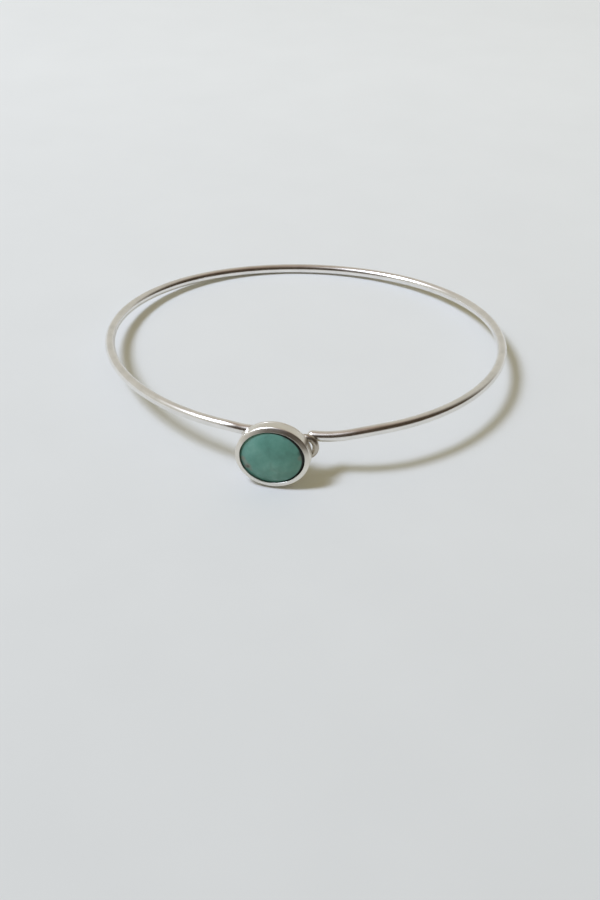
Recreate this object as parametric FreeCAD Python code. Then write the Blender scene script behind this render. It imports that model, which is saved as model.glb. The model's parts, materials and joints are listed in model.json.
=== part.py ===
import FreeCAD, Part
import math
import os

# Bangle bracelet: a springy round wire, an oval stone in a bezel setting, and a hook that catches
# on a headed peg behind the setting. Millimetres. The wire's own plane is modelled level first, with
# +Y to the back of the bangle and the setting at the front. At the end everything is laid down as it
# rests: back wire and setting on the table, origin under the middle of the whole.

Vec = FreeCAD.Vector

# ---- driving dimensions ------------------------------------------------------------------------
wire_diameter = 1.62
bangle_radius = 32.5        # mean radius of the wire's centreline
side_bulge = 0.58           # more radius at the two sides, less at front and back
egg = 0.51                  # more radius at the front, less at the back
roll = 0.5                  # degrees: how far the left side lies lower

stone_length = 10.4
stone_width = 8.9
stone_girdle = 0.85         # straight edge under the dome
stone_dome = 1.4
bedding_thickness = 0.5
plate_thickness = 0.4
wall_thickness = 0.35
wall_height = 2.1           # from the back of the plate to where the wall turns over
lip_reach = 0.37            # how far the lip stands in over the stone
lip_rise = 0.36
lip_thickness = 0.24
shoulder_width = 0.19       # the round where the wall turns over: its reach and its height
shoulder_height = 0.115
stone_gap = 0.04            # stone to wall, all round
bedding_gap = 0.15          # bedding to wall, all round

setting_turn = 9.0          # degrees the setting faces to the left of straight ahead
setting_lift = 4.0          # degrees its face looks up from the wire's plane
setting_x = -4.55           # middle of the setting's back, to the right of the bangle's middle
setting_drop = 2.94         # that middle lies this far below the wire's plane
left_end_gap = 0.49         # end of the left arm to the hook
left_end_dip = 0.35         # and its end lies this far below the wire's plane
solder_run = 4.97           # straight stretch of the left arm along the back of the setting
left_leaves_at = -112.0     # degrees round the bangle where the left arm turns in to the setting

hook_wire = 1.0
hook_outside = 4.0
hook_inset = 1.09           # middle of the hook, in from the right end of the setting
hook_above = 0.85           # and up from the middle of the setting
hook_gap = 0.30             # hook to back plate
hook_arc = 270.0            # degrees that the hook covers, from its tip on the left over the top
right_end_at = 60.0         # degrees round the hook where the right arm's end is soldered on
right_end_turn = 10.0       # degrees that the end of the right arm heads forward
right_leaves_at = -68.0
solder_bite = 0.12          # how far the arm is let into the hook

peg_diameter = 0.8
peg_head_diameter = 1.4
peg_head_thickness = 0.45
peg_head_round = 0.27
peg_direction = 163.0       # degrees, where the peg lies from the middle of the hook
peg_play = 0.06             # peg to the inside of the hook, and head to its back

flex_direction = 15.0       # degrees from straight up in which the right arm springs open
pivot_clearance = 0.02

tiny = 1e-6                 # what counts as nothing, in millimetres or radians

wire_r = wire_diameter / 2
hook_r = hook_wire / 2
hook_centre_r = hook_outside / 2 - hook_r
peg_r = peg_diameter / 2


def level(angle):
    """Point of the wire's centreline at an angle in degrees from +X towards +Y."""
    a = math.radians(angle)
    r = bangle_radius + side_bulge * math.cos(2 * a) + egg * math.sin(3 * a)
    return Vec(r * math.cos(a), r * math.sin(a), 0)


def heading(angle):
    """Direction of the centreline at that angle, anticlockwise."""
    return (level(angle + 0.01) - level(angle - 0.01)).normalize()


def arc_towards(start, corner, end):
    """Arc that leaves start towards corner and reaches end from corner."""
    middle = (start + end) * 0.5
    half_turn = (corner - start).getAngle(end - start)
    if half_turn < tiny:
        return Part.LineSegment(start, end).toShape()
    rise = (corner - middle) * (math.tan(half_turn / 2) / math.tan(half_turn))
    return Part.Arc(start, middle + rise, end).toShape()


def two_arcs(p1, t1, p2, t2):
    """Two arcs that join p1 to p2 and keep both directions."""
    v = p2 - p1
    a = 2 * (t1.dot(t2) - 1)
    b = -2 * v.dot(t1 + t2)
    c = v.dot(v)
    d = c / -b if abs(a) < 1e-9 else (-b - math.sqrt(b * b - 4 * a * c)) / (2 * a)
    q1 = p1 + t1 * d
    q2 = p2 - t2 * d
    m = (q1 + q2) * 0.5
    return [arc_towards(p1, q1, m), arc_towards(m, q2, p2)]


def round_bar(stations, radius):
    """Round wire through stations, each a point and a direction."""
    edges = []
    for (p1, t1), (p2, t2) in zip(stations, stations[1:]):
        edges += two_arcs(p1, t1, p2, t2)
    start, direction = stations[0]
    section = Part.Wire([Part.Circle(start, direction, radius).toShape()])
    return Part.Wire(edges).makePipeShell([section], True, False)


def ball(centre, radius):
    return Part.makeSphere(radius, centre)


# ---- the setting, made flat: X along the oval, Y up, Z out of its face ------------------------------
turn = math.radians(setting_turn)
lift = math.radians(setting_lift)
along = Vec(math.cos(turn), -math.sin(turn), 0)
face = Vec(-math.sin(turn) * math.cos(lift), -math.cos(turn) * math.cos(lift), math.sin(lift))
upward = face.cross(along)
setting_back = Vec(setting_x, level(-90).y, -setting_drop)
to_setting = FreeCAD.Matrix(
    along.x, upward.x, face.x, setting_back.x,
    along.y, upward.y, face.y, setting_back.y,
    along.z, upward.z, face.z, setting_back.z,
    0, 0, 0, 1)

seat_a = stone_length / 2 + stone_gap
seat_b = stone_width / 2 + stone_gap
outer_a = seat_a + wall_thickness
outer_b = seat_b + wall_thickness


def oval(a, b, z):
    """Oval wire with half sizes a and b at height z, which starts on its longer axis."""
    centre = Vec(0, 0, z)
    if a > b:
        outline = Part.Ellipse(Vec(a, 0, z), Vec(0, b, z), centre)
    else:
        outline = Part.Ellipse(Vec(0, b, z), Vec(-a, 0, z), centre)
    return Part.Wire([outline.toShape()])


def from_seat(out, z):
    """Point above the longer axis of the seat, out from the seat's edge."""
    if seat_a > seat_b:
        return Vec(seat_a + out, 0, z)
    return Vec(0, seat_b + out, z)


def make_back_plate():
    return Part.Face(oval(outer_a, outer_b, 0)).extrude(Vec(0, 0, plate_thickness))


def make_bezel_wall():
    """The wall's section, in distance out from the seat and height, swept round the oval."""
    turn_z = wall_height - wall_thickness / 2
    shoulder_z = wall_height + shoulder_height
    corner_z = (shoulder_width ** 2 + shoulder_z ** 2 - turn_z ** 2) / (2 * (shoulder_z - turn_z))
    tip_round = lip_thickness / 2
    tip_out = tip_round - lip_reach
    tip_z = wall_height + lip_rise - tip_round

    def line(start, end):
        return Part.LineSegment(start, end).toShape()

    foot_in = from_seat(0, plate_thickness)
    foot_out = from_seat(wall_thickness, plate_thickness)
    turn_in = from_seat(0, turn_z)
    turn_out = from_seat(wall_thickness, turn_z)
    shoulder = from_seat(wall_thickness - shoulder_width, shoulder_z)
    tip_top = from_seat(tip_out, tip_z + tip_round)
    tip_low = from_seat(tip_out, tip_z - tip_round)
    section = Part.Wire([
        line(foot_in, foot_out),
        line(foot_out, turn_out),
        arc_towards(turn_out, from_seat(wall_thickness, corner_z), shoulder),
        line(shoulder, tip_top),
        Part.Arc(tip_top, from_seat(tip_out - tip_round, tip_z), tip_low).toShape(),
        line(tip_low, turn_in),
        line(turn_in, foot_in),
    ])
    return oval(seat_a, seat_b, 0).makePipeShell([section], True, True)


def make_bedding():
    a = seat_a - bedding_gap
    b = seat_b - bedding_gap
    return Part.Face(oval(a, b, plate_thickness)).extrude(Vec(0, 0, bedding_thickness))


def make_stone():
    """Round cabochon squeezed to the oval."""
    a = stone_length / 2
    base = plate_thickness + bedding_thickness
    shoulder = base + stone_girdle
    dome_r = (a * a + stone_dome * stone_dome) / (2 * stone_dome)
    half_x = a / 2
    half_z = shoulder + stone_dome - dome_r + math.sqrt(dome_r ** 2 - half_x ** 2)
    edges = [
        Part.LineSegment(Vec(0, 0, base), Vec(a, 0, base)),
        Part.LineSegment(Vec(a, 0, base), Vec(a, 0, shoulder)),
        Part.Arc(Vec(a, 0, shoulder), Vec(half_x, 0, half_z), Vec(0, 0, shoulder + stone_dome)),
        Part.LineSegment(Vec(0, 0, shoulder + stone_dome), Vec(0, 0, base)),
    ]
    section = Part.Face(Part.Wire([e.toShape() for e in edges]))
    whole = section.revolve(Vec(0, 0, 0), Vec(0, 0, 1), 360)
    squeeze = FreeCAD.Matrix()
    squeeze.scale(1, stone_width / stone_length, 1)
    return whole.transformGeometry(squeeze)


# ---- the clasp, in the setting's frame ----------------------------------------------------------
hook_z = -(hook_gap + hook_r)
hook_centre = Vec(outer_a - hook_inset, hook_above, hook_z)
peg_reach = hook_gap + hook_wire + peg_play
catch_r = hook_centre_r - hook_r - peg_r - peg_play


def around_hook(angle, distance):
    a = math.radians(angle)
    return hook_centre + Vec(math.cos(a), math.sin(a), 0) * distance


def on_hook(angle):
    return around_hook(angle, hook_centre_r)


def make_hook():
    """Round bar from the left tip over the top and the right side to the tip underneath."""
    last = 180 - hook_arc
    path = Part.Arc(on_hook(180), on_hook((180 + last) / 2), on_hook(last)).toShape()
    section = Part.Wire([Part.Circle(on_hook(180), Vec(0, 1, 0), hook_r).toShape()])
    bar = Part.Wire([path]).makePipeShell([section], True, False)
    return bar.fuse([ball(on_hook(180), hook_r), ball(on_hook(last), hook_r)]).removeSplitter()


def make_peg():
    back = Vec(0, 0, -1)
    centre = around_hook(peg_direction, catch_r)
    foot = Vec(centre.x, centre.y, 0)
    shank = Part.makeCylinder(peg_r, peg_reach, foot, back)
    head = Part.makeCylinder(peg_head_diameter / 2, peg_head_thickness, foot + back * peg_reach, back)
    far = -(peg_reach + peg_head_thickness)
    rim = [e for e in head.Edges if abs(e.CenterOfMass.z - far) < tiny]
    head = head.makeFillet(peg_head_round, rim)
    return shank.fuse(head).removeSplitter()


# ---- the two arms of the wire, in the wire's plane ------------------------------------------------
def in_wire_plane(point):
    return to_setting.multVec(point)


pivot = level(90)
solder_height = (setting_drop - left_end_dip + wire_r * math.sin(lift)) / math.cos(lift)
left_end_along = hook_centre.x - hook_outside / 2 - left_end_gap - wire_r
left_end = in_wire_plane(Vec(left_end_along, solder_height, -wire_r))
left_start_on_plate = in_wire_plane(Vec(left_end_along - solder_run, solder_height, -wire_r))
right_end_depth = Vec(0, 0, -(hook_r + wire_r - solder_bite))
right_end = in_wire_plane(on_hook(right_end_at) + right_end_depth)
end_turn = math.radians(right_end_turn)
right_heading = Vec(-math.cos(end_turn), math.sin(end_turn), 0)


def make_left_arm():
    """From the pivot at the back, round the left side, to its end on the back plate."""
    stations = [(level(a), heading(a)) for a in (90, 120, 150, 180, 210, 232)]
    leaves = left_leaves_at + 360
    stations.append((level(leaves), heading(leaves)))
    stations.append((left_start_on_plate, along))
    bar = round_bar(stations, wire_r)
    straight = Part.makeCylinder(wire_r, solder_run, left_start_on_plate, along)
    arm = bar.fuse([straight, ball(left_end, wire_r)])
    return arm.removeSplitter().cut(ball(pivot, wire_r + pivot_clearance))


def make_right_arm():
    """From the ball at the pivot, round the right side, to its end on the hook."""
    angles = (90, 60, 30, 0, -30, -50, right_leaves_at)
    stations = [(level(a), heading(a) * -1) for a in angles]
    stations.append((right_end, right_heading))
    bar = round_bar(stations, wire_r)
    return bar.fuse([ball(pivot, wire_r), ball(right_end, wire_r)]).removeSplitter()


# ---- how it lies on the table --------------------------------------------------------------------
def laid(lean):
    """Matrix that rolls the bangle and lifts its front by lean, in radians."""
    m = FreeCAD.Matrix()
    m.rotateY(-math.radians(roll))
    m.rotateX(-lean)
    return m


def lowest_wire(m):
    return min(m.multVec(level(a)).z for a in range(0, 360, 1)) - wire_r


def lowest_setting(m):
    rims = []
    for z in (0, wall_height):
        for step in range(180, 360):
            s = math.radians(step)
            rims.append(in_wire_plane(Vec(outer_a * math.cos(s), outer_b * math.sin(s), z)))
    return min(m.multVec(p).z for p in rims)


def find_lean():
    """Lean at which the back wire and the setting touch the same table."""
    low, high = 0.0, math.radians(20)
    for _ in range(40):
        lean = (low + high) / 2
        m = laid(lean)
        if lowest_setting(m) < lowest_wire(m):
            low = lean
        else:
            high = lean
    return lean


to_table = laid(find_lean())

right_arm = make_right_arm()
hook = make_hook()
hook.transformShape(to_setting)
in_setting = {
    "back_plate": make_back_plate(),
    "bezel_wall": make_bezel_wall(),
    "bedding": make_bedding(),
    "stone": make_stone(),
    "catch_peg": make_peg(),
}
for piece in in_setting.values():
    piece.transformShape(to_setting)

parts = dict(in_setting)
parts["left_arm"] = make_left_arm()
parts["right_arm"] = right_arm
parts["clasp_hook"] = hook.cut(right_arm)

for piece in parts.values():
    piece.transformShape(to_table)
whole = Part.makeCompound(list(parts.values())).optimalBoundingBox(False)
shift = Vec(-(whole.XMin + whole.XMax) / 2, -(whole.YMin + whole.YMax) / 2, -whole.ZMin)

os.makedirs("parts", exist_ok=True)
for name, piece in parts.items():
    piece.translate(shift)
    piece.exportStep("parts/" + name + ".step")

tilt = math.radians(flex_direction)
print("pivot", to_table.multVec(pivot) + shift)
print("axis", to_table.multVec(Vec(-math.cos(tilt), 0, math.sin(tilt))))
print("middle", to_table.multVec(Vec(0, 0, 0)) + shift)
print("normal", to_table.multVec(Vec(0, 0, 1)))
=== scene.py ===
import bmesh
import bpy
import json
import math
from mathutils import Matrix, Vector, noise


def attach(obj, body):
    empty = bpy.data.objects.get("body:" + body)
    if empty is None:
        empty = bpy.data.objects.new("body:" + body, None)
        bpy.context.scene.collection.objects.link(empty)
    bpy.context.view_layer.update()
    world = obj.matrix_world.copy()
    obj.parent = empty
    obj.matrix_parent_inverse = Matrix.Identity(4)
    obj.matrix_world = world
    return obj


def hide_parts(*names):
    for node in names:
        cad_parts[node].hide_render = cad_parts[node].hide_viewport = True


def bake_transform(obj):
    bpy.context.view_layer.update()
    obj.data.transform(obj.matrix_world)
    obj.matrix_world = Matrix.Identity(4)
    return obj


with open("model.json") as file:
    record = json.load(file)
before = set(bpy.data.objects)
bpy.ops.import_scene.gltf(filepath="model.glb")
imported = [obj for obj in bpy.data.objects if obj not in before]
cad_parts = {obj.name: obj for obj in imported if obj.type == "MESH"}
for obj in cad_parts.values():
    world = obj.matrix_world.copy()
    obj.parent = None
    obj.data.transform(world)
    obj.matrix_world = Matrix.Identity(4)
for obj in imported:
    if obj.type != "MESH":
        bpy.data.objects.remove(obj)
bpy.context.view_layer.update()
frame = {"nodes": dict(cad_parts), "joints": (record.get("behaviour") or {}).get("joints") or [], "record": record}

# Bangle bracelet of round silver wire with an oval turquoise. Metres. The wire is rebuilt from the
# same outline as the design, so that its middle is a piece of its own, on no body, instead of turning
# in a ball. The setting, stone and clasp are built in the setting's own frame, whose middle and
# directions come from the CAD nodes.

joint = frame["joints"][0]
nodes = frame["nodes"]
MM = 0.001

# ---- the wire -----------------------------------------------------------------------------------
WIRE_R = 0.81 * MM
BANGLE_R = 32.5 * MM
SIDE_BULGE = 0.58 * MM
EGG = 0.51 * MM
LEFT_LEAVES_AT = -112.0
RIGHT_LEAVES_AT = -68.0
BEND_FROM = 62.0            # degrees round the bangle between which the back of the wire runs
BEND_TO = 118.0
LEFT_EASES_FROM = 232.0     # here the even outline gives way to arcs that lead to the setting

# ---- the setting, in its own frame: X along the oval, Y up, Z out of its face ---------------------
SETTING_TURN = math.radians(9.0)
SETTING_LIFT = math.radians(4.0)
SETTING_X = -4.55 * MM
SETTING_DROP = 2.94 * MM
STONE_A = 5.20 * MM
STONE_B = 4.45 * MM
STONE_BASE = 0.9 * MM
STONE_GIRDLE = 0.85 * MM
STONE_DOME = 1.4 * MM
SEAT_GAP = 0.04 * MM
PLATE = 0.4 * MM
WALL = 0.35 * MM
WALL_HEIGHT = 2.1 * MM
LIP_REACH = 0.37 * MM
LIP_RISE = 0.36 * MM
LIP_THICK = 0.24 * MM
SHOULDER_WIDTH = 0.12 * MM
SHOULDER_RISE = 0.085 * MM
SHOULDER_DROP = 0.03 * MM   # how far below the wall's top the shoulder starts
PLATE_EDGE = 0.05 * MM
SEAT_A = STONE_A + SEAT_GAP
SEAT_B = STONE_B + SEAT_GAP

# ---- the clasp ------------------------------------------------------------------------------------
HOOK_R = 0.5 * MM
HOOK_CENTRE_R = 1.5 * MM
HOOK_INSET = 1.09 * MM
HOOK_ABOVE = 0.85 * MM
HOOK_GAP = 0.30 * MM
HOOK_ARC = 270.0
RIGHT_END_AT = 60.0
RIGHT_END_TURN = math.radians(10.0)
SOLDER_BITE = 0.12 * MM
LEFT_END_GAP = 0.49 * MM
LEFT_END_DIP = 0.35 * MM
SOLDER_RUN = 4.97 * MM

# ---- how finely the meshes are drawn --------------------------------------------------------------
ROUND_SIDES = 40            # round a wire
DOME_STEPS = 10             # over a wire's domed end
DOME_TO = math.radians(88)
OVAL_STEPS = 240            # round the setting
STONE_STEPS = 160           # round the stone
STONE_RINGS = 26            # from the stone's edge to its middle
HOOK_STEPS = 96
STONE_UV = 10 * MM          # one unit of the stone's UV
WIRE_UV = 0.1               # metres of wire in one unit of its UV


# ==== the frame's directions ========================================================================
pivot = Vector(joint["pos_m"])
middle = Vector(frame["record"]["mounts"][0]["pos_m"])
wire_normal = Vector(frame["record"]["mounts"][0]["axis"]).normalized()
wire_back = (pivot - middle).normalized()
wire_right = wire_back.cross(wire_normal).normalized()


def frame_of(x, y, z, at):
    """The matrix of a frame with these three directions, placed at a point."""
    return Matrix((
        (x[0], y[0], z[0], at[0]),
        (x[1], y[1], z[1], at[1]),
        (x[2], y[2], z[2], at[2]),
        (0, 0, 0, 1)))


wire_plane = frame_of(wire_right, wire_back, wire_normal, middle)


def level(angle):
    """Point of the wire's middle line, in the bangle's own plane."""
    a = math.radians(angle)
    r = BANGLE_R + SIDE_BULGE * math.cos(2 * a) + EGG * math.sin(3 * a)
    return Vector((r * math.cos(a), r * math.sin(a), 0))


def heading(angle):
    """The middle line's direction there."""
    return (level(angle + 0.01) - level(angle - 0.01)).normalized()


def make_setting_frame():
    """The setting's frame in the bangle's plane, and the direction along the oval."""
    along = Vector((math.cos(SETTING_TURN), -math.sin(SETTING_TURN), 0))
    lift = math.cos(SETTING_LIFT)
    face = Vector((-math.sin(SETTING_TURN) * lift, -math.cos(SETTING_TURN) * lift, math.sin(SETTING_LIFT)))
    upward = face.cross(along)
    back = Vector((SETTING_X, level(-90).y, -SETTING_DROP))
    return frame_of(along, upward, face, back), along


setting_in_plane, setting_along = make_setting_frame()
setting = wire_plane @ setting_in_plane


# ==== materials ======================================================================================
def new_material(name):
    material = bpy.data.materials.new(name)
    material.use_nodes = True
    tree = material.node_tree
    return material, tree, tree.nodes["Principled BSDF"]


def scaled_coords(tree, scale, source="Object"):
    """Coordinates stretched by scale on each axis."""
    coords = tree.nodes.new("ShaderNodeTexCoord")
    mapping = tree.nodes.new("ShaderNodeMapping")
    mapping.inputs["Scale"].default_value = scale
    tree.links.new(coords.outputs[source], mapping.inputs["Vector"])
    return mapping.outputs["Vector"]


def noise_at(tree, vector, scale, detail=2.0, roughness=0.5):
    node = tree.nodes.new("ShaderNodeTexNoise")
    node.inputs["Scale"].default_value = scale
    node.inputs["Detail"].default_value = detail
    node.inputs["Roughness"].default_value = roughness
    tree.links.new(vector, node.inputs["Vector"])
    return node.outputs["Fac"]


def ramp(tree, value, stops):
    node = tree.nodes.new("ShaderNodeValToRGB")
    elements = node.color_ramp.elements
    while len(elements) < len(stops):
        elements.new(0.5)
    for element, (place, colour) in zip(elements, stops):
        element.position = place
        element.color = (*colour, 1) if len(colour) == 3 else colour
    tree.links.new(value, node.inputs["Fac"])
    return node.outputs["Color"]


def span(tree, value, low, high):
    """A 0 to 1 value spread over low to high."""
    node = tree.nodes.new("ShaderNodeMapRange")
    node.inputs["To Min"].default_value = low
    node.inputs["To Max"].default_value = high
    tree.links.new(value, node.inputs["Value"])
    return node.outputs["Result"]


def bump(tree, value, strength, distance, below=None):
    node = tree.nodes.new("ShaderNodeBump")
    node.inputs["Strength"].default_value = strength
    node.inputs["Distance"].default_value = distance
    tree.links.new(value, node.inputs["Height"])
    if below is not None:
        tree.links.new(below, node.inputs["Normal"])
    return node.outputs["Normal"]


def silver(name, tint, rough_low, rough_high, scratch, along_wire):
    """Silver with soft cloudiness, fine scratches and slightly dull patches."""
    material, tree, shader = new_material(name)
    shader.inputs["Metallic"].default_value = 1.0
    if along_wire:
        fine = scaled_coords(tree, (ROUND_SIDES, 1.0, 1.0), "UV")
        scratches = noise_at(tree, fine, 8.0, 2.0)
    else:
        fine = scaled_coords(tree, (1.0, 1.0, 1.0))
        scratches = noise_at(tree, fine, 9000.0, 3.0)
    plain = scaled_coords(tree, (1.0, 1.0, 1.0))
    clouds = noise_at(tree, plain, 420.0, 4.0)
    shader_tint = ramp(tree, clouds, [
        (0.30, tuple(c * 0.90 for c in tint)),
        (0.62, tint)])
    tree.links.new(shader_tint, shader.inputs["Base Color"])
    tree.links.new(span(tree, clouds, rough_low, rough_high), shader.inputs["Roughness"])
    waviness = bump(tree, noise_at(tree, plain, 260.0, 2.0), 0.05, 0.00020)
    tree.links.new(bump(tree, scratches, scratch, 0.000006, waviness), shader.inputs["Normal"])
    return material


def math_node(tree, operation, first, second):
    node = tree.nodes.new("ShaderNodeMath")
    node.operation = operation
    for socket, value in zip(node.inputs, (first, second)):
        if isinstance(value, (int, float)):
            socket.default_value = value
        else:
            tree.links.new(value, socket)
    return node.outputs["Value"]


def mixed(tree, mask, below, colour):
    """below, with colour laid over it where mask is 1."""
    node = tree.nodes.new("ShaderNodeMixRGB")
    node.inputs["Color2"].default_value = (*colour, 1)
    tree.links.new(mask, node.inputs["Fac"])
    tree.links.new(below, node.inputs["Color1"])
    return node.outputs["Color"]


def turquoise_material():
    """Teal-green stone: soft mottling, faint matrix veins, a few specks and a black line of painted shade round
    its edge, where it meets the lip.
    """
    material, tree, shader = new_material("turquoise_stone")
    place = scaled_coords(tree, (1.0, 1.0, 1.0), "UV")
    mottle = noise_at(tree, place, 3.1, 5.0, 0.60)
    broad = noise_at(tree, place, 1.3, 1.0)
    mottle = math_node(tree, "ADD", math_node(tree, "MULTIPLY", mottle, 0.75),
                       math_node(tree, "MULTIPLY", broad, 0.25))
    colour = ramp(tree, mottle, [
        (0.30, (0.061, 0.152, 0.125)),
        (0.45, (0.089, 0.233, 0.190)),
        (0.56, (0.112, 0.268, 0.221)),
        (0.72, (0.172, 0.334, 0.281))])
    warp_noise = tree.nodes.new("ShaderNodeTexNoise")
    warp_noise.inputs["Scale"].default_value = 5.0
    warp_noise.inputs["Detail"].default_value = 3.0
    tree.links.new(place, warp_noise.inputs["Vector"])
    warp = tree.nodes.new("ShaderNodeVectorMath")
    warp.operation = "MULTIPLY_ADD"
    warp.inputs[1].default_value = (0.10, 0.10, 0.0)
    tree.links.new(warp_noise.outputs["Color"], warp.inputs[0])
    tree.links.new(place, warp.inputs[2])
    warped = warp.outputs["Vector"]
    veins = tree.nodes.new("ShaderNodeTexVoronoi")
    veins.feature = "DISTANCE_TO_EDGE"
    veins.inputs["Scale"].default_value = 3.4
    tree.links.new(warped, veins.inputs["Vector"])
    vein_line = ramp(tree, veins.outputs["Distance"], [(0.0, (1, 1, 1)), (0.11, (0, 0, 0))])
    patches = ramp(tree, noise_at(tree, place, 2.6, 2.0), [(0.48, (0, 0, 0)), (0.66, (0.22, 0.22, 0.22))])
    colour = mixed(tree, math_node(tree, "MULTIPLY", vein_line, patches), colour, (0.060, 0.095, 0.075))
    for (x, y), size, strength, tint in SPECKS:
        away = tree.nodes.new("ShaderNodeVectorMath")
        away.operation = "DISTANCE"
        away.inputs[1].default_value = (x * MM / STONE_UV, y * MM / STONE_UV, 0)
        tree.links.new(place, away.inputs[0])
        radius = size * MM / STONE_UV
        spot = ramp(tree, away.outputs["Value"], [
            (0.0, (strength,) * 3), (radius / 2, (strength * 0.7,) * 3), (radius, (0, 0, 0))])
        colour = mixed(tree, spot, colour, tint)
    # Painted shade: a black ring at the stone's edge stands for the shade in the gap under the lip.
    oval = tree.nodes.new("ShaderNodeVectorMath")
    oval.operation = "MULTIPLY_ADD"
    oval.inputs[1].default_value = (STONE_UV / STONE_A, STONE_UV / STONE_B, 0)
    oval.inputs[2].default_value = GAP_SHADE_SHIFT
    tree.links.new(place, oval.inputs[0])
    share = tree.nodes.new("ShaderNodeVectorMath")
    share.operation = "LENGTH"
    tree.links.new(oval.outputs["Vector"], share.inputs[0])
    edge = ramp(tree, share.outputs["Value"], [(GAP_SHADE_SHARE - 0.02, (0, 0, 0)), (GAP_SHADE_SHARE, (1, 1, 1))])
    colour = mixed(tree, edge, colour, (0.012, 0.012, 0.010))
    tree.links.new(colour, shader.inputs["Base Color"])
    tree.links.new(span(tree, mottle, 0.30, 0.46), shader.inputs["Roughness"])
    shader.inputs["Specular IOR Level"].default_value = 0.38
    tree.links.new(bump(tree, mottle, 0.08, 0.0002), shader.inputs["Normal"])
    return material


def bedding_material():
    material, tree, shader = new_material("bedding_felt")
    fibres = noise_at(tree, scaled_coords(tree, (1.0, 1.0, 1.0)), 4000.0, 4.0)
    tint = ramp(tree, fibres, [(0.3, (0.10, 0.07, 0.045)), (0.7, (0.30, 0.24, 0.16))])
    tree.links.new(tint, shader.inputs["Base Color"])
    shader.inputs["Roughness"].default_value = 0.95
    tree.links.new(bump(tree, fibres, 0.5, 0.0001), shader.inputs["Normal"])
    return material


SILVER_TINT = (0.90, 0.88, 0.85)
GAP_SHADE_SHARE = 0.915           # share of the stone's oval beyond which its edge is painted black, as shade in the gap under the lip
GAP_SHADE_SHIFT = (0.055, 0.035, 0)     # the painted gap shade is wider at the right and the top
GREY_BROWN = (0.19, 0.185, 0.150)
SPECKS = [                  # place on the stone and size in mm, strength, colour
    ((-4.32, -0.55), 0.55, 0.95, GREY_BROWN),
    ((-4.00, -1.10), 0.60, 0.60, (0.23, 0.26, 0.215)),
    ((-3.50, -1.62), 0.62, 1.00, GREY_BROWN),
    ((-3.55, -1.75), 0.34, 0.95, (0.060, 0.056, 0.045)),
    ((-3.95, -1.90), 0.42, 0.70, GREY_BROWN),
    ((-3.10, -2.20), 0.40, 0.45, GREY_BROWN),
    ((4.50, 1.25), 0.80, 1.00, (0.02, 0.022, 0.018)),
    ((4.25, 0.40), 0.55, 0.65, (0.17, 0.15, 0.125)),
    ((1.95, 3.65), 0.60, 0.65, (0.060, 0.075, 0.062)),
    ((3.10, 2.60), 0.90, 0.25, (0.050, 0.090, 0.080)),
]
wire_silver = silver("wire_silver", SILVER_TINT, 0.17, 0.27, 0.10, True)
# The clasp's darker, browner tint is painted reflection: the same silver as the wire, darkened where it mirrors
# the dark room.
clasp_silver_painted_dark = silver("clasp_silver_painted_dark", (0.58, 0.53, 0.45), 0.26, 0.40, 0.08, False)
# The setting's creamier, darker tint is painted reflection of the warm shaded table under it, on the same silver
# as the wire.
setting_silver_painted_warm = silver("setting_silver_painted_warm", (0.85, 0.81, 0.735), 0.24, 0.36, 0.08, False)
turquoise = turquoise_material()
felt = bedding_material()


# ==== meshes =========================================================================================
def piece_from(name, bm, material, body):
    """A piece made of bm, which rides on a body where one is named."""
    bmesh.ops.remove_doubles(bm, verts=bm.verts, dist=1e-8)
    bmesh.ops.recalc_face_normals(bm, faces=bm.faces)
    mesh = bpy.data.meshes.new(name)
    bm.to_mesh(mesh)
    bm.free()
    for polygon in mesh.polygons:
        polygon.use_smooth = True
    mesh.materials.append(material)
    obj = bpy.data.objects.new(name, mesh)
    bpy.context.scene.collection.objects.link(obj)
    if body:
        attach(obj, body)
    return obj


def sew(bm, rings):
    """Faces between each ring and the next."""
    for a, b in zip(rings, rings[1:]):
        for k in range(len(a)):
            n = (k + 1) % len(a)
            bm.faces.new((a[k], a[n], b[n], b[k]))


def arc_points(start, corner, end, count):
    """Points of the arc that leaves start towards corner and reaches end from corner."""
    chord = end - start
    half_turn = (corner - start).angle(chord)
    if half_turn < 1e-6:
        return [start + chord * (i / count) for i in range(count + 1)]
    centre_way = (corner - (start + end) / 2).normalized()
    radius = chord.length / (2 * math.sin(half_turn))
    centre = (start + end) / 2 - centre_way * (radius * math.cos(half_turn))
    points = []
    for i in range(count + 1):
        a = (2 * i / count - 1) * half_turn
        out = centre_way * (radius * math.cos(a))
        points.append(centre + out + chord.normalized() * (radius * math.sin(a)))
    return points


def two_arcs(p1, t1, p2, t2, count):
    """Points of the two arcs that join p1 to p2 and keep both directions."""
    v = p2 - p1
    a = 2 * (t1.dot(t2) - 1)
    b = -2 * v.dot(t1 + t2)
    c = v.dot(v)
    d = c / -b if abs(a) < 1e-9 else (-b - math.sqrt(b * b - 4 * a * c)) / (2 * a)
    q1 = p1 + t1 * d
    q2 = p2 - t2 * d
    m = (q1 + q2) / 2
    return arc_points(p1, q1, m, count)[:-1] + arc_points(m, q2, p2, count)


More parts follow.
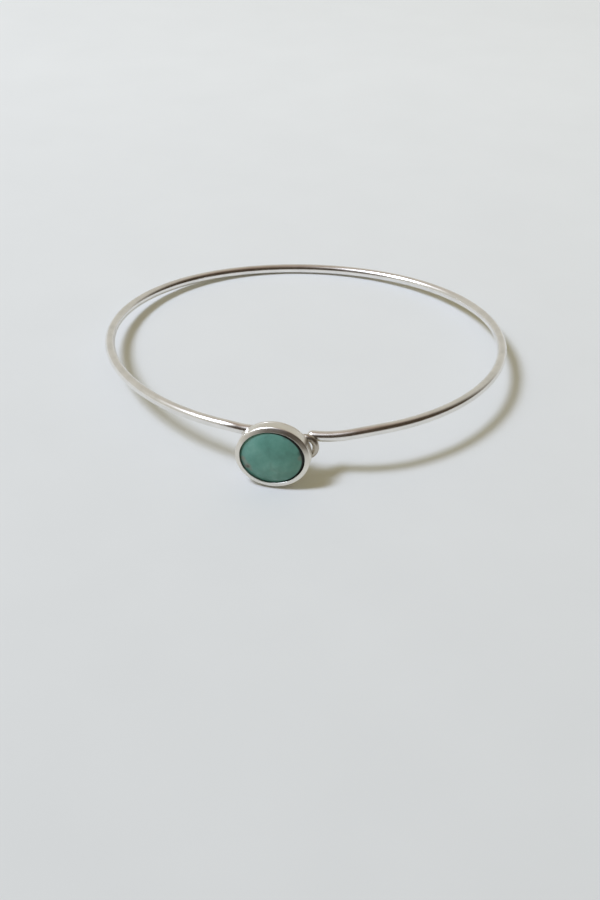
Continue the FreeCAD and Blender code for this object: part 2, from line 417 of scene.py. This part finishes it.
def tube(bm, path, radius, cap_start=False, cap_end=False):
    """A round bar along path, with domed ends where asked, and its length in the UV's second value."""
    up = Vector((0, 0, 1))
    uv_layer = bm.loops.layers.uv.verify()
    rings = []
    lengths = [0.0]
    for a, b in zip(path, path[1:]):
        lengths.append(lengths[-1] + (b - a).length)
    stations = []
    last = len(path) - 1
    for i, point in enumerate(path):
        ahead = path[min(i + 1, last)] - path[max(i - 1, 0)]
        stations.append((point, ahead.normalized(), radius, lengths[i]))
    if cap_start:
        point, ahead, r, length = stations[0]
        front = []
        for k in range(DOME_STEPS):
            a = DOME_TO * (1 - k / DOME_STEPS)
            front.append((point - ahead * r * math.sin(a), ahead, r * math.cos(a), length))
        stations = front + stations
    if cap_end:
        point, ahead, r, length = stations[-1]
        for k in range(1, DOME_STEPS + 1):
            a = DOME_TO * k / DOME_STEPS
            stations.append((point + ahead * r * math.sin(a), ahead, r * math.cos(a), length))
    for point, ahead, r, length in stations:
        side = ahead.cross(up).normalized()
        top = side.cross(ahead)
        ring = []
        for k in range(ROUND_SIDES):
            a = 2 * math.pi * k / ROUND_SIDES
            ring.append(bm.verts.new(point + (side * math.cos(a) + top * math.sin(a)) * r))
        rings.append((ring, length))
    for (ring_a, la), (ring_b, lb) in zip(rings, rings[1:]):
        for k in range(ROUND_SIDES):
            n = (k + 1) % ROUND_SIDES
            face = bm.faces.new((ring_a[k], ring_a[n], ring_b[n], ring_b[k]))
            for loop, (u, v) in zip(face.loops, ((k, la), (k + 1, la), (k + 1, lb), (k, lb))):
                loop[uv_layer].uv = (u / ROUND_SIDES, v / WIRE_UV)
    for ring in (rings[0][0], rings[-1][0]):
        for edge in bm.faces.new(ring).edges:
            edge.smooth = False


def in_place(points, frame_matrix):
    return [frame_matrix @ p for p in points]


# ==== the wire =======================================================================================
def arc_of_bangle(start, end, step=0.5):
    """Points of the wire's middle line between two angles, about step degrees apart."""
    count = max(2, round(abs(end - start) / step))
    return [level(start + (end - start) * i / count) for i in range(count + 1)]


def left_path():
    """From the left end of the bend, round the left side, to the end soldered on the back plate."""
    leaves = LEFT_LEAVES_AT + 360
    height = (SETTING_DROP - LEFT_END_DIP + WIRE_R * math.sin(SETTING_LIFT)) / math.cos(SETTING_LIFT)
    hook_x = SEAT_A + WALL - HOOK_INSET
    end_x = hook_x - HOOK_CENTRE_R - HOOK_R - LEFT_END_GAP - WIRE_R
    end = setting_in_plane @ Vector((end_x, height, -WIRE_R))
    start = setting_in_plane @ Vector((end_x - SOLDER_RUN, height, -WIRE_R))
    eases = LEFT_EASES_FROM
    path = arc_of_bangle(BEND_TO, eases)
    path += two_arcs(level(eases), heading(eases), level(leaves), heading(leaves), 16)[1:]
    path += two_arcs(level(leaves), heading(leaves), start, setting_along, 20)[1:]
    path += [start + (end - start) * (i / 8) for i in range(1, 9)]
    return path


def right_path():
    """From the right end of the bend, round the right side, to the end soldered on the hook."""
    depth = Vector((0, 0, -(HOOK_R + WIRE_R - SOLDER_BITE)))
    end = setting_in_plane @ (on_hook(RIGHT_END_AT) + depth)
    direction = Vector((-math.cos(RIGHT_END_TURN), math.sin(RIGHT_END_TURN), 0))
    path = arc_of_bangle(BEND_FROM, RIGHT_LEAVES_AT)
    path += two_arcs(level(RIGHT_LEAVES_AT), -heading(RIGHT_LEAVES_AT), end, direction, 24)[1:]
    return path


def on_hook(angle, distance=HOOK_CENTRE_R):
    """Point in the setting's frame, round the hook's centre."""
    a = math.radians(angle)
    centre = Vector((SEAT_A + WALL - HOOK_INSET, HOOK_ABOVE, -(HOOK_GAP + HOOK_R)))
    return centre + Vector((math.cos(a), math.sin(a), 0)) * distance


def make_wire():
    """The two arms, and between them the back of the wire, a piece on no body that spans the joint."""
    bm = bmesh.new()
    tube(bm, in_place(left_path(), wire_plane), WIRE_R, cap_end=True)
    left = piece_from("wire_left", bm, wire_silver, "setting_side")
    bm = bmesh.new()
    tube(bm, in_place(right_path(), wire_plane), WIRE_R, cap_end=True)
    right = piece_from("wire_right", bm, wire_silver, "clasp_side")
    bm = bmesh.new()
    tube(bm, in_place(arc_of_bangle(BEND_TO, BEND_FROM), wire_plane), WIRE_R)
    back = piece_from("wire_back", bm, wire_silver, None)
    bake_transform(back)
    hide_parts("left_arm")
    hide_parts("right_arm")


# ==== the setting ====================================================================================
def oval_point(a, b, out, angle):
    """Point out from the oval with half sizes a and b, at right angles to it."""
    x, y = a * math.cos(angle), b * math.sin(angle)
    n = Vector((math.cos(angle) / a, math.sin(angle) / b, 0)).normalized()
    return Vector((x, y, 0)) + n * out


def swept_oval(bm, section, steps, wobble):
    """Closed section of (out, height) points swept round the seat. wobble shifts each point."""
    rings = []
    for k in range(steps):
        angle = 2 * math.pi * k / steps
        ring = []
        for i, (out, z) in enumerate(section):
            shift_out, shift_z = wobble(angle, out, z)
            p = oval_point(SEAT_A, SEAT_B, out + shift_out, angle)
            p.z = z + shift_z
            ring.append(bm.verts.new(setting @ p))
        rings.append(ring)
    count = len(section)
    for k in range(steps):
        a, b = rings[k], rings[(k + 1) % steps]
        for i in range(count):
            j = (i + 1) % count
            bm.faces.new((a[i], b[i], b[j], a[j]))


def rounded(points, radius, per_corner=5):
    """The closed outline with every corner rounded."""
    smooth = []
    count = len(points)
    for i in range(count):
        before = Vector(points[i - 1])
        here = Vector(points[i])
        after = Vector(points[(i + 1) % count])
        r = min(radius[i], (here - before).length * 0.45, (after - here).length * 0.45)
        start = here + (before - here).normalized() * r
        end = here + (after - here).normalized() * r
        for k in range(per_corner + 1):
            t = k / per_corner
            smooth.append(start * (1 - t) ** 2 + here * (2 * t * (1 - t)) + end * t ** 2)
    return smooth


LIP_FROM = 0.8              # share of the wall's height at which the unevenness starts
BROAD_WAVES = 2.3
FINE_WAVES = 7
BROAD_SHIFT = 0.055 * MM
FINE_SHIFT = 0.025 * MM
HEIGHT_SHIFT = 0.04 * MM


def hand_pushed(angle, out, z):
    """A lip pushed over by hand is a little uneven, more so towards its tip."""
    near_tip = max(0.0, (z - WALL_HEIGHT * LIP_FROM) / (WALL_HEIGHT * (1 - LIP_FROM) + LIP_RISE))
    near_tip *= max(0.0, (WALL - out) / (WALL + LIP_REACH))
    here = Vector((math.cos(angle) * BROAD_WAVES, math.sin(angle) * BROAD_WAVES, 0))
    fine = Vector((math.cos(angle) * FINE_WAVES, math.sin(angle) * FINE_WAVES, 5))
    shift_out = noise.noise(here) * BROAD_SHIFT + noise.noise(fine) * FINE_SHIFT
    shift_z = noise.noise(here + Vector((9, 0, 0))) * HEIGHT_SHIFT
    return shift_out * near_tip, min(0.0, shift_z * near_tip)


def make_bezel():
    """The setting's wall, with its lip turned over the stone."""
    tip = WALL_HEIGHT + LIP_RISE
    outline = [
        (0.0, PLATE), (WALL, PLATE), (WALL, WALL_HEIGHT - SHOULDER_DROP),
        (WALL - SHOULDER_WIDTH, WALL_HEIGHT + SHOULDER_RISE),
        (-LIP_REACH, tip), (-LIP_REACH, tip - LIP_THICK), (0.0, WALL_HEIGHT - WALL / 2)]
    radius = [0.02 * MM, 0.03 * MM, 0.08 * MM, 0.14 * MM, 0.09 * MM, 0.09 * MM, 0.05 * MM]
    bm = bmesh.new()
    swept_oval(bm, rounded(outline, radius), OVAL_STEPS, hand_pushed)
    bezel = piece_from("bezel", bm, setting_silver_painted_warm, "setting_side")
    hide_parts("bezel_wall")


def make_stone():
    """Cabochon with a straight girdle, a soft shoulder and a low dome."""
    bm = bmesh.new()
    rings = []
    top = STONE_BASE + STONE_GIRDLE
    profile = [(0.985, STONE_BASE), (1.0, STONE_BASE + 0.05 * MM)]
    profile += [(1.0, top - 0.12 * MM), (0.996, top - 0.03 * MM)]
    for k in range(1, STONE_RINGS):
        share = 1 - k / STONE_RINGS
        profile.append((share, top + STONE_DOME * (1 - share ** 2.5) ** 0.9))
    for share, z in profile:
        ring = []
        for k in range(STONE_STEPS):
            a = 2 * math.pi * k / STONE_STEPS
            ring.append(bm.verts.new(setting @ Vector((
                STONE_A * share * math.cos(a), STONE_B * share * math.sin(a), z))))
        rings.append(ring)
    sew(bm, rings)
    bm.faces.new(rings[0])
    centre = bm.verts.new(setting @ Vector((0, 0, top + STONE_DOME)))
    for k in range(STONE_STEPS):
        bm.faces.new((rings[-1][k], rings[-1][(k + 1) % STONE_STEPS], centre))
    local = setting.inverted()
    uv_layer = bm.loops.layers.uv.verify()
    for face in bm.faces:
        for loop in face.loops:
            place = local @ loop.vert.co
            loop[uv_layer].uv = (place.x / STONE_UV, place.y / STONE_UV)
    stone = piece_from("turquoise_cabochon", bm, turquoise, "setting_side")
    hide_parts("stone")


def make_back_plate():
    """The plate behind the stone, with a small round edge."""
    bm = bmesh.new()
    rings = []
    edge = PLATE_EDGE
    for out, z in ((WALL - edge, 0), (WALL - edge * 0.3, edge * 0.3), (WALL, edge), (WALL, PLATE - edge),
                   (WALL - edge * 0.3, PLATE - edge * 0.3), (WALL - edge, PLATE)):
        ring = []
        for k in range(OVAL_STEPS):
            p = oval_point(SEAT_A, SEAT_B, out, 2 * math.pi * k / OVAL_STEPS)
            p.z = z
            ring.append(bm.verts.new(setting @ p))
        rings.append(ring)
    sew(bm, rings)
    bm.faces.new(rings[0])
    bm.faces.new(rings[-1])
    plate = piece_from("setting_back_plate", bm, setting_silver_painted_warm, "setting_side")
    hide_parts("back_plate")


# ==== the clasp ======================================================================================
def make_hook():
    """The C-shaped hook, from its left side over its top and round to its bottom."""
    path = [on_hook(180 - HOOK_ARC * i / HOOK_STEPS) for i in range(HOOK_STEPS + 1)]
    bm = bmesh.new()
    tube(bm, in_place(path, setting), HOOK_R, cap_start=True, cap_end=True)
    hook = piece_from("hook", bm, clasp_silver_painted_dark, "clasp_side")
    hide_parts("clasp_hook")


def dress(node, material):
    """A finer material on a CAD node whose shape is right."""
    obj = nodes[node]
    for slot in obj.material_slots:
        slot.material = material
    if not obj.material_slots:
        obj.data.materials.append(material)


# ==== floor, lights and camera =======================================================================
DARK_SIDE = (0.60, -0.80, 0.0)
WINDOW_GLOW = (1.05, 1.02, 0.97)
SOFT_FILL = (0.405, 0.362, 0.232)
BACKDROP = (0.70, 0.71, 0.70)
KEY_DIRECTION = (-0.64, -0.20, 1.0)
KEY_LONG_WAY = (0.87, 0.50, 0.0)
KEY_COLOUR = (0.645, 0.718, 0.89)
LIGHT_DISTANCE = 2.2
CAMERA_AT = (-0.00262357, -0.17900850, 0.11552641)
CAMERA_AHEAD = (0.00993008, 0.80220172, -0.59697051)
CAMERA_RIGHT = (0.99957074, 0.0084928, 0.0280395)
LENS = 50.0                 # mm
SENSOR_HEIGHT = 36.0        # mm
FLOOR_HALF = 1.5
FLOOR_DROP = 0.02 * MM


def make_camera():
    camera = bpy.data.cameras.new("camera")
    camera.sensor_fit = "VERTICAL"
    camera.sensor_height = SENSOR_HEIGHT
    camera.lens = LENS
    camera.clip_start = 0.01
    camera.clip_end = 10
    obj = bpy.data.objects.new("camera", camera)
    ahead = Vector(CAMERA_AHEAD).normalized()
    right = Vector(CAMERA_RIGHT)
    right = (right - ahead * right.dot(ahead)).normalized()
    up = right.cross(ahead)
    obj.matrix_world = frame_of(right, up, -ahead, CAMERA_AT)
    bpy.context.scene.collection.objects.link(obj)
    bpy.context.scene.camera = obj


def make_floor():
    """A pale matt table, with painted shade that makes it a little darker towards the front."""
    bm = bmesh.new()
    corners = []
    for x, y in ((-1, -1), (1, -1), (1, 1), (-1, 1)):
        corners.append(bm.verts.new((x * FLOOR_HALF, y * FLOOR_HALF, -FLOOR_DROP)))
    bm.faces.new(corners)
    mesh = bpy.data.meshes.new("floor")
    bm.to_mesh(mesh)
    bm.free()
    material, tree, shader = new_material("pale_table")
    grain = noise_at(tree, scaled_coords(tree, (1.0, 1.0, 1.0)), 60.0, 3.0)
    tint = ramp(tree, grain, [(0.3, (0.805, 0.812, 0.805)), (0.7, (0.820, 0.827, 0.820))])
    # Painted shade: the table's colour is scaled down towards the front (low Y).
    split = tree.nodes.new("ShaderNodeSeparateXYZ")
    tree.links.new(scaled_coords(tree, (1.0, 1.0, 1.0)), split.inputs["Vector"])
    depth = tree.nodes.new("ShaderNodeMapRange")
    depth.inputs["From Min"].default_value = -0.11
    depth.inputs["From Max"].default_value = 0.14
    depth.inputs["To Min"].default_value = 0.825
    depth.inputs["To Max"].default_value = 1.0
    tree.links.new(split.outputs["Y"], depth.inputs["Value"])
    shade = tree.nodes.new("ShaderNodeVectorMath")
    shade.operation = "SCALE"
    tree.links.new(tint, shade.inputs[0])
    tree.links.new(depth.outputs["Result"], shade.inputs["Scale"])
    tree.links.new(shade.outputs["Vector"], shader.inputs["Base Color"])
    shader.inputs["Roughness"].default_value = 0.85
    shader.inputs["Specular IOR Level"].default_value = 0.1
    mesh.materials.append(material)
    floor = bpy.data.objects.new("floor", mesh)
    bpy.context.scene.collection.objects.link(floor)


def area_light(name, length, width, power):
    """A light panel that faces the bangle from the key's direction."""
    light = bpy.data.lights.new(name, "AREA")
    light.shape = "RECTANGLE"
    light.size = length
    light.size_y = width
    light.energy = power
    light.color = KEY_COLOUR
    obj = bpy.data.objects.new(name, light)
    back = Vector(KEY_DIRECTION).normalized()
    along = Vector(KEY_LONG_WAY)
    along = (along - back * along.dot(back)).normalized()
    across = back.cross(along)
    obj.matrix_world = frame_of(along, across, back, back * LIGHT_DISTANCE)
    bpy.context.scene.collection.objects.link(obj)


def make_world():
    """Room light. Metal mirrors a pale room with a dark brown side to the front and right, and a bright
    window. Everything else is lit by a plain warm fill, and a grey backdrop is what the camera sees."""
    world = bpy.data.worlds.new("room")
    world.use_nodes = True
    bpy.context.scene.world = world
    tree = world.node_tree
    background = tree.nodes["Background"]
    coords = tree.nodes.new("ShaderNodeTexCoord")
    split = tree.nodes.new("ShaderNodeSeparateXYZ")
    tree.links.new(coords.outputs["Generated"], split.inputs["Vector"])
    pale = ramp(tree, split.outputs["Z"], [
        (0.0, (0.64, 0.63, 0.59)), (0.30, (0.56, 0.55, 0.50)), (0.62, (0.56, 0.54, 0.48)),
        (0.88, (0.44, 0.37, 0.31)), (1.0, (0.30, 0.225, 0.17))])
    dark = ramp(tree, split.outputs["Z"], [
        (0.0, (0.42, 0.36, 0.29)), (0.10, (0.050, 0.034, 0.021)), (0.80, (0.050, 0.034, 0.021)),
        (0.94, (0.16, 0.115, 0.08)), (1.0, (0.30, 0.225, 0.17))])
    towards = tree.nodes.new("ShaderNodeVectorMath")
    towards.operation = "DOT_PRODUCT"
    towards.inputs[1].default_value = DARK_SIDE
    tree.links.new(coords.outputs["Generated"], towards.inputs[0])
    side = tree.nodes.new("ShaderNodeMapRange")
    side.inputs["From Min"].default_value = -0.08
    side.inputs["From Max"].default_value = 0.40
    tree.links.new(towards.outputs["Value"], side.inputs["Value"])
    mirrored = tree.nodes.new("ShaderNodeMixRGB")
    tree.links.new(side.outputs["Result"], mirrored.inputs["Fac"])
    tree.links.new(pale, mirrored.inputs["Color1"])
    tree.links.new(dark, mirrored.inputs["Color2"])
    window = tree.nodes.new("ShaderNodeVectorMath")
    window.operation = "DOT_PRODUCT"
    window.inputs[1].default_value = Vector(KEY_DIRECTION).normalized()
    tree.links.new(coords.outputs["Generated"], window.inputs[0])
    glow = ramp(tree, window.outputs["Value"], [(0.87, (0, 0, 0)), (0.97, (1, 1, 1))])
    lit = tree.nodes.new("ShaderNodeMixRGB")
    lit.inputs["Color2"].default_value = (*WINDOW_GLOW, 1)
    tree.links.new(glow, lit.inputs["Fac"])
    tree.links.new(mirrored.outputs["Color"], lit.inputs["Color1"])
    rays = tree.nodes.new("ShaderNodeLightPath")
    light = tree.nodes.new("ShaderNodeMixRGB")
    light.inputs["Color1"].default_value = (*SOFT_FILL, 1)
    tree.links.new(rays.outputs["Is Glossy Ray"], light.inputs["Fac"])
    tree.links.new(lit.outputs["Color"], light.inputs["Color2"])
    seen = tree.nodes.new("ShaderNodeMixRGB")
    seen.inputs["Color2"].default_value = (*BACKDROP, 1)
    tree.links.new(rays.outputs["Is Camera Ray"], seen.inputs["Fac"])
    tree.links.new(light.outputs["Color"], seen.inputs["Color1"])
    tree.links.new(seen.outputs["Color"], background.inputs["Color"])


make_wire()
make_bezel()
make_stone()
make_back_plate()
make_hook()
dress("catch_peg", clasp_silver_painted_dark)
dress("bedding", felt)
make_floor()
make_world()
make_camera()
area_light("key", 0.56, 0.36, 33.0)
area_light("window", 1.10, 0.80, 17.0)
bpy.context.scene.view_settings.view_transform = "Standard"
bpy.context.view_layer.update()
